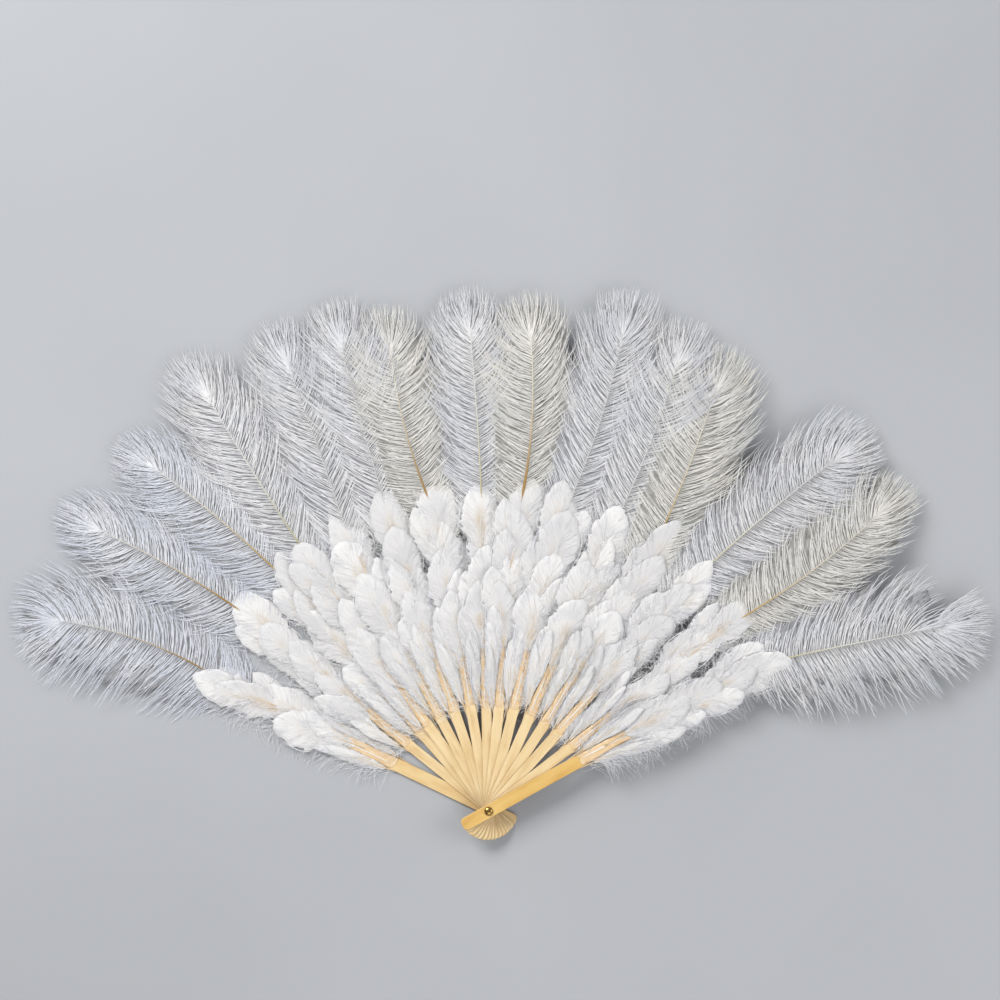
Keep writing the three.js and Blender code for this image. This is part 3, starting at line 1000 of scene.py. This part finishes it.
def vane_bmesh(vane, rng):
    bm = new_grid(VANE_COLUMNS, VANE_ROWS)
    along = bm.verts.layers.float.new("along")
    tone = bm.verts.layers.float.new("tone")
    shift = rng.uniform(0, 20)
    shade = rng.uniform(0, 1)
    map_uv(bm, lambda corner: (corner.x / 2 + 0.5, corner.y / 2 + 0.5 + shift))
    rows = rng.permutation(np.arange(3, VANE_ROWS // 2))[:rng.integers(0, 3)]
    for row in rows:
        split_barbs(bm, rng.choice([-1, 1]), int(row), rng.choice(SPLIT_DEPTHS), rng.uniform(0.01, 0.04))
    grid = corners(bm)
    share = (grid[:, 1] + 1) / 2
    reach = np.abs(grid[:, 0])
    row = np.round(share * VANE_ROWS).astype(int) + (VANE_ROWS + 1) * (grid[:, 0] > 0)
    ragged = rng.uniform(0, 1, 2 * VANE_ROWS + 2)[row] * (TIP_RAGGED + ROOT_RAGGED * (1 - share) ** 1.8)
    ragged[share > 1 - 0.5 / VANE_ROWS] = 0.0
    places = vane.points(share, reach * (1 - ragged * reach ** 2), np.sign(grid[:, 0]))
    for vert, place in zip(bm.verts, places):
        vert[along] = place[0] / vane.length
        vert[tone] = shade
        vert.co = place
    bmesh.ops.remove_doubles(bm, verts=bm.verts, dist=1e-3)
    thicken(bm, VANE_THICKNESS)
    return bm


# %% [markdown]
# Strands make the vanes soft. Each has a shaft, which starts as a bare quill below the vane, and one or
# two rims that curl up and catch the light. Loose barbs lie on it and fray from its edge.

# %% Shafts, rims and frayed barbs
SHAFT_POINTS = 9
SHAFT_RADIUS = 0.5
RIM_POINTS = 9
RIM_RADIUS = 0.3
RIM_ABOVE = 0.05
FRAY_POINTS = 4
FRAY_RADIUS = 0.13
BOTH_SIDES = [-1.0, 1.0]


def shaft_line(vane):
    share = np.linspace(-0.3, 0.85, SHAFT_POINTS)
    lines = vane.solid(share * vane.length, np.zeros(SHAFT_POINTS))[None]
    lines[..., 2] = np.maximum(lines[..., 2], 0.0) + VANE_THICKNESS
    return lines, SHAFT_RADIUS - 0.4 * np.clip(share, 0, 1) ** 0.7


def curled_rims(vane, rng):
    sides = rng.permutation(BOTH_SIDES)[:rng.integers(1, 3)][:, None]
    count = len(sides)
    share = np.linspace(rng.uniform(0.1, 0.4, count), rng.uniform(0.6, 0.95, count), RIM_POINTS, axis=1)
    lines = vane.points(share, 0.97, sides)
    lines[..., 2] += VANE_THICKNESS + RIM_ABOVE
    return lines, RIM_RADIUS * np.sin(math.pi * np.linspace(0.04, 0.96, RIM_POINTS)) ** 0.6


def frayed_barbs(vane, count, rng):
    side = rng.choice(BOTH_SIDES, count)[:, None]
    share = rng.uniform(0.02, 0.97, count)[:, None] ** 1.4
    past_edge = rng.uniform(0.94, 1.16, count) + rng.uniform(0.0, 0.6, count) * (1 - share[:, 0]) ** 2
    reach = np.linspace(rng.uniform(0.3, 0.75, count), past_edge, FRAY_POINTS, axis=1)
    lines = vane.points(share + rng.normal(0, 0.025, (count, 1)) * reach ** 2, reach, side)
    lines[..., 2] += VANE_THICKNESS + rng.uniform(0.02, 0.5, (count, 1)) * reach
    return lines, FRAY_RADIUS * (1 - 0.75 * np.linspace(0, 1, FRAY_POINTS) ** 1.5)


# %% [markdown]
# Down is drawn as flat trails first: each hair leaves its root at one heading, bends to another and sways
# a little on the way. Long wisps flow along a feather and sweep out past its sides, its root is fluffy,
# and short down lies low beside the stick, where it shows between the feathers of two sticks. Below each
# guard hangs a fringe, in tufts of hairs that curve together.

# %% Draw flat trails
DOWN_SHARE = np.linspace(0, 1, 7)


def bend(first, last, ease, sway, phase):
    """Headings (degrees) along lines that turn from a first to a last heading and sway about it."""
    turning = (last - first)[:, None] * DOWN_SHARE ** ease
    return first[:, None] + turning + sway * DOWN_SHARE * wave(1.3 * DOWN_SHARE + phase[:, None])


def trails(start, heading, length):
    """Lines in a plane that leave their start points and follow their headings."""
    middle = np.radians((heading[:, 1:] + heading[:, :-1]) / 2)
    step = length / (heading.shape[1] - 1)
    steps = np.stack([np.cos(middle), np.sin(middle)], axis=2) * step[:, None, None]
    return np.concatenate([np.zeros((len(start), 1, 2)), np.cumsum(steps, axis=1)], axis=1) + start[:, None]


def hairs(flat, height, radius, taper=0.6):
    """Flat trails raised to their heights, with the radii of hairs that taper to their ends."""
    return np.concatenate([flat, height[..., None]], axis=2), radius * (1 - taper * DOWN_SHARE)


# %% Down on and about a feather
def flowing_wisps(vane, count, sides, rng):
    start = np.stack([rng.uniform(-6, 0.5 * vane.length, count), rng.normal(0, 2.5, count)], axis=1)
    side = rng.choice(sides, count)
    first = side * rng.uniform(2, 38, count)
    last = first + side * rng.normal(4, 22, count)
    length = vane.length * rng.uniform(0.3, 0.62, count)
    flat = trails(start, bend(first, last, 0.9, 14.0, rng.uniform(0, 1, count)), length)
    height = vane.lift * flat[..., 0] / vane.length + 0.4 + rng.normal(0.2, 0.7, (count, 1)) * DOWN_SHARE
    return hairs(flat, height, 0.16, 0.7)


def root_down(count, length, sides, rng):
    start = np.stack([rng.uniform(-4, 16, count), rng.normal(0, 0.8, count)], axis=1)
    side = rng.choice(sides, count)
    first = side * rng.uniform(25, 95, count)
    last = first + side * rng.normal(-10, 45, count)
    length = length * rng.uniform(0.6, 1.1, count)
    flat = trails(start, bend(first, last, 0.8, 25.0, rng.uniform(0, 1, count)), length)
    height = rng.normal(0, 0.6, (count, 1)) * DOWN_SHARE
    return hairs(flat, height + rng.uniform(-0.6, 1.2, (count, 1)) * DOWN_SHARE ** 2, 0.17)


# %% Down beside a stick
FLUFF_COUNT = 220
FLUFF_SPAN = (140, 262)
FRINGE_COUNT = 300
FRINGE_SPAN = (96, 240)
TUFT_HAIRS = 10


def gap_fluff(rng):
    count = FLUFF_COUNT
    side = rng.choice(BOTH_SIDES, count)
    start = np.stack([rng.uniform(*FLUFF_SPAN, count), side * rng.uniform(5, 20, count)], axis=1)
    first = rng.normal(0, 55, count) + 20 * side
    last = first + rng.normal(0, 80, count)
    flat = trails(start, bend(first, last, 0.8, 25.0, rng.uniform(0, 1, count)), rng.uniform(9, 18, count))
    return hairs(flat, 0.3 + rng.normal(0, 0.5, (count, 1)) * DOWN_SHARE, 0.19)


def fringe(side, rng):
    count = FRINGE_COUNT
    tufts = count // TUFT_HAIRS
    tuft = np.arange(count) % tufts
    place = np.linspace(*FRINGE_SPAN, tufts)[tuft] + rng.normal(0, 2.5, tufts)[tuft]
    start = np.stack([place + rng.normal(0, 2.0, count), side * rng.uniform(3, 9, count)], axis=1)
    first = side * (62 + rng.normal(0, 13, tufts)[tuft] + rng.normal(0, 6, count))
    last = first + side * (rng.normal(14, 30, tufts)[tuft] + rng.normal(0, 10, count))
    length = np.interp(place, [90, 110, 200, 240], [14, 25, 28, 22]) * rng.uniform(0.6, 1.15, count)
    flat = trails(start, bend(first, last, 0.8, 4.0, rng.uniform(0, 1, count)), length)
    return hairs(flat, 0.6 + rng.normal(0, 0.8, (count, 1)) * DOWN_SHARE, 0.14)


# %% [markdown]
# The lowest feathers of a stick lie in three narrow pairs, one feather at each side, so the bamboo shows
# between their roots. Above them each tier has one feather on the stick and a second, partly under it,
# turned to one side. The feathers of a few sticks are slimmer.

# %% Find places for the feathers of a stick
LOWEST_PAIRS = ((86.0, 0.34, 5.3), (97.0, 0.38, 5.9), (111.0, 0.48, 6.1))
PAIR_UP = 0.7
FIRST_TIER = 126.0
TIER_COUNT = 4
TIER_STEP = 27.3
UNDER_BACK = 9.0
UNDER_UP = 0.4
UNDER_SLIM = 0.84
OVER_UP = 1.0
TOP_UP = 1.5
TURNED_TO = {1: -1, 2: 1}
SIDE_RISE = 0.06
SIDE_REACH = 30.0


def feather_spots(blade, rng):
    """Root, sideways place, splay, height, size, slimness and fluffy sides of feathers, lowest first."""
    spots = []
    for root, slim, left in LOWEST_PAIRS:
        for side in (1, -1):
            place = root + rng.normal(0, 3)
            left_of = side * left * rng.uniform(0.9, 1.1) + side * blade.is_guard
            splay = side * rng.uniform(6, 12)
            spots.append((place, left_of, splay, PAIR_UP, rng.uniform(0.75, 0.95), slim, [side]))
    for tier in range(TIER_COUNT):
        root = FIRST_TIER + tier * TIER_STEP
        up = TOP_UP if tier == TIER_COUNT - 1 else OVER_UP
        side = TURNED_TO.get(blade.number, 1 if rng.random() < 0.5 else -1)
        under = (root - UNDER_BACK + rng.normal(0, 3), side * 3.0, side * rng.uniform(7, 18), UNDER_UP,
                 rng.uniform(0.84, 0.98), UNDER_SLIM, BOTH_SIDES)
        over = (root + rng.normal(0, 2.5), -side * 0.8, rng.normal(-side * 1.0, 4.5), up,
                rng.uniform(0.94, 1.1), 1.0, BOTH_SIDES)
        spots += [under, over]
    return spots


def lay(points, splay, root, left, up):
    """Places of a feather's points on its stick."""
    along, across = turned(points, splay)
    across = across + left
    height = points[..., 2] + up + SIDE_RISE * np.clip(across, -SIDE_REACH, SIDE_REACH)
    return np.stack([along + root, across, height], axis=-1)


# %% Glue the feathers up each stick
FEATHER_SEED = 300
FEATHER_LENGTH = 58.0
FEATHER_HALF_WIDTH = 17.0
SLIM_STICKS = {1: 0.94, 12: 0.9, 13: 0.84, 14: 0.82, 15: 0.9}
USUAL_SLIM = 0.97
FRAY_EACH = 100
DOWN_EACH = 12
DOWN_LENGTH = 20
FLOW_EACH = 15
STRAND_LOOKS = {"shafts": (feather_quill, round_section), "rims": (down_white, round_section),
                "fray": (down_white, fine_section), "down": (down_white, fine_section)}
vane_total = 0
for blade in blades:
    rng = np.random.default_rng(FEATHER_SEED + blade.number)
    name = f"body_feathers_{blade.label}"
    whole = bmesh.new()
    whole.loops.layers.uv.new("UVMap")
    whole.verts.layers.float.new("along")
    whole.verts.layers.float.new("tone")
    holder = bpy.data.meshes.new("vane_maker")
    sets = {kind: [] for kind in STRAND_LOOKS}
    half_width = FEATHER_HALF_WIDTH * SLIM_STICKS.get(blade.number, USUAL_SLIM)
    for root, left, splay, up, size, slim, sides in feather_spots(blade, rng):
        vane = Vane(FEATHER_LENGTH * size, half_width * size * slim * rng.uniform(0.88, 1.08), rng)
        bm = vane_bmesh(vane, rng)
        places = lay(corners(bm), splay, root, left, up)
        move_corners(bm, blade.place(above_floor(blade, places)))
        bm.to_mesh(holder)
        bm.free()
        whole.from_mesh(holder)
        for kind, (lines, radius) in (("shafts", shaft_line(vane)), ("rims", curled_rims(vane, rng)),
                                      ("fray", frayed_barbs(vane, FRAY_EACH, rng)),
                                      ("down", root_down(DOWN_EACH, DOWN_LENGTH * size, sides, rng)),
                                      ("down", flowing_wisps(vane, FLOW_EACH, sides, rng))):
            sets[kind].append((lay(lines, splay, root, left, up), radius))
        vane_total += 1
    bpy.data.meshes.remove(holder)
    sets["down"].append(gap_fluff(rng))
    if blade.is_guard:
        sets["down"].append(fringe(1 if blade.number == 1 else -1, rng))
    mesh = to_mesh(whole, name + "_vanes")
    finish_piece(mesh, blade, white_vane, stands_for=name, soft=True)
    for kind, look in STRAND_LOOKS.items():
        lines = above_floor(blade, np.concatenate([made for made, radius in sets[kind]]))
        radii = np.concatenate([np.broadcast_to(radius, made.shape[:2]) for made, radius in sets[kind]])
        strand_piece(f"{name}_{kind}", blade, "body_feather", lines, radii, *look)
print("body feathers", vane_total)

# %% [markdown]
# ## Glue
#
# The feathers are held by a coat of clear glue brushed over the pared part of each stick. It has dried to
# a glossy film, a little pinker than the bamboo, that ends in an uneven edge. A narrow grid with that
# edge, thickened, is laid on the bamboo.

# %% Brush glue on the sticks
GLUE_SEED = 500
GLUE_START = 82.5
GLUE_END = 150.0
GLUE_THICKNESS = 0.16
GLUE_GAP = 0.05
GLUE_MARGIN = 0.45
GLUE_COLUMNS = 26
GLUE_ROWS = 6
EDGE_SCATTER = 1.6
EDGE_ROUND = 2.2


def glue_finish():
    finish = Finish("dried_glue", 0.32, Coat_Weight=0.3, Coat_Roughness=0.2)
    cloud = finish.noise(finish.place(), 260.0, 4.0)
    colour = finish.ramp(cloud, (0.34, (228, 194, 145)), (0.52, (234, 204, 160)), (0.68, (238, 213, 175)))
    return finish.paint(colour, cloud, 0.3, 0.0002)


dried_glue = glue_finish()
for blade in blades:
    rng = np.random.default_rng(GLUE_SEED + blade.number)
    half = half_stick(blade) - GLUE_MARGIN
    bm = new_grid(GLUE_COLUMNS, GLUE_ROWS)
    edge = rng.normal(0, EDGE_SCATTER, GLUE_ROWS + 1)
    for vert in bm.verts:
        share, across = (vert.co.x + 1) / 2, vert.co.y
        row = round((across + 1) * GLUE_ROWS / 2)
        begin = GLUE_START + rng.normal(0, 0.1) + edge[row] + EDGE_ROUND * across ** 4
        begin = max(begin, SEAT_START + SEAT_RAMP / 2)
        along = begin + (GLUE_END - begin) * share ** 1.5
        narrow = half - (along - SEAT_START) / (RIB_TIP_RADIUS - SEAT_START) * (half - RIB_TIP_WIDTH / 2)
        pared = min(max((along - SEAT_START) / SEAT_RAMP, 0), 1)
        up = blade.thickness + (RIB_THICKNESS - blade.thickness) * pared
        swell = GLUE_GAP * (1 - across ** 2) * min(share * 8, 1)
        vert.co = (along, across * narrow, up + GLUE_GAP + swell)
    bmesh.ops.solidify(bm, geom=bm.faces[:], thickness=-GLUE_THICKNESS)
    bmesh.ops.recalc_face_normals(bm, faces=bm.faces)
    move_corners(bm, blade.place(corners(bm)))
    finish_piece(to_mesh(bm, f"glue_{blade.label}"), blade, dried_glue)
print("glue on", BLADE_COUNT, "sticks")

# %% [markdown]
# The lowest feather of all has a bare white quill, which shows as a straight line in the glue of its
# stick.

# %% Set the lowest quills
LOWEST_SEED = 700
LOWEST_RADII = np.array([0.36, 0.54, 0.54, 0.5, 0.44, 0.34])
LOWEST_POINTS = len(LOWEST_RADII)
LOWEST_UP = 0.36
for blade in blades:
    rng = np.random.default_rng(LOWEST_SEED + blade.number)
    along = np.linspace(GLUE_START + rng.uniform(3, 6), GLUE_START + rng.uniform(40, 54), LOWEST_POINTS)
    left = np.linspace(rng.uniform(-1.4, 1.4), rng.uniform(-0.8, 0.8), LOWEST_POINTS)
    up = np.full(LOWEST_POINTS, RIB_THICKNESS + LOWEST_UP)
    lines = np.stack([along, left, up], axis=1)[None]
    name = f"lowest_quills_{blade.label}"
    strand_piece(name, blade, "body_feather", lines, LOWEST_RADII, white_quill, soft=False)
print("lowest quills on", BLADE_COUNT, "sticks")

# %% [markdown]
# ## Floor, light and camera
#
# The fan lies flat and the camera looks straight down on it. One large soft lamp from the upper left,
# weaker ones from the right and the front and an even grey sky light it like a plain studio table, and
# the pale floor keeps its soft shadow.

# %% Floor
FLOOR_SIZE = 6.0


def floor_finish():
    finish = Finish("pale_floor", 0.85)
    cloud = finish.noise(finish.place(), 3.0, 2.0)
    return finish.paint(finish.ramp(cloud, (0.3, (176, 178, 181)), (0.7, (182, 184, 187))))


floor_mesh = to_mesh(new_grid(1, 1, FLOOR_SIZE), "floor")
floor_mesh.materials.append(floor_finish())
floor = show("floor", floor_mesh)
print("floor", 2 * FLOOR_SIZE, "m wide")

# %% Lights
FAN_MIDDLE = (0.009, 0.248, 0.012)
SKY_COLOUR = (0.95, 0.955, 1.0, 1.0)
SKY_STRENGTH = 0.37


def soft_lamp(name, place, size, power):
    lamp = bpy.data.lights.new(name, "AREA")
    lamp.size = size
    lamp.energy = power
    holder = show(name, lamp)
    holder.location = place
    holder.rotation_euler = (Vector(FAN_MIDDLE) - Vector(place)).to_track_quat("-Z", "Y").to_euler()


soft_lamp("key_lamp", (-0.9, 1.2, 1.5), 0.9, 30)
soft_lamp("side_lamp", (1.3, 0.2, 1.1), 1.0, 7)
soft_lamp("front_lamp", (0.3, -0.9, 1.3), 0.9, 5.5)
world = bpy.data.worlds.new("studio")
world.use_nodes = True
world.node_tree.nodes["Background"].inputs["Color"].default_value = SKY_COLOUR
world.node_tree.nodes["Background"].inputs["Strength"].default_value = SKY_STRENGTH
bpy.context.scene.world = world
print("lamps", len(bpy.data.lights))

# %% Camera straight above
VIEW_WIDTH = 0.8
LENS = 135.0
SENSOR = 36.0
camera_data = bpy.data.cameras.new("camera")
camera_data.lens = LENS
camera_data.sensor_width = SENSOR
camera = show("camera", camera_data)
camera.location = (FAN_MIDDLE[0], FAN_MIDDLE[1], FAN_MIDDLE[2] + VIEW_WIDTH * LENS / SENSOR)
bpy.context.scene.camera = camera
bpy.context.scene.view_settings.view_transform = "Standard"
print("camera", round(camera.location.z, 2), "m up")

# %% Measure and finish
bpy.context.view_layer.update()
triangles = 0
for piece in bpy.data.objects:
    if piece.type == "MESH":
        piece.data.calc_loop_triangles()
        triangles += len(piece.data.loop_triangles)
print("triangles", triangles)
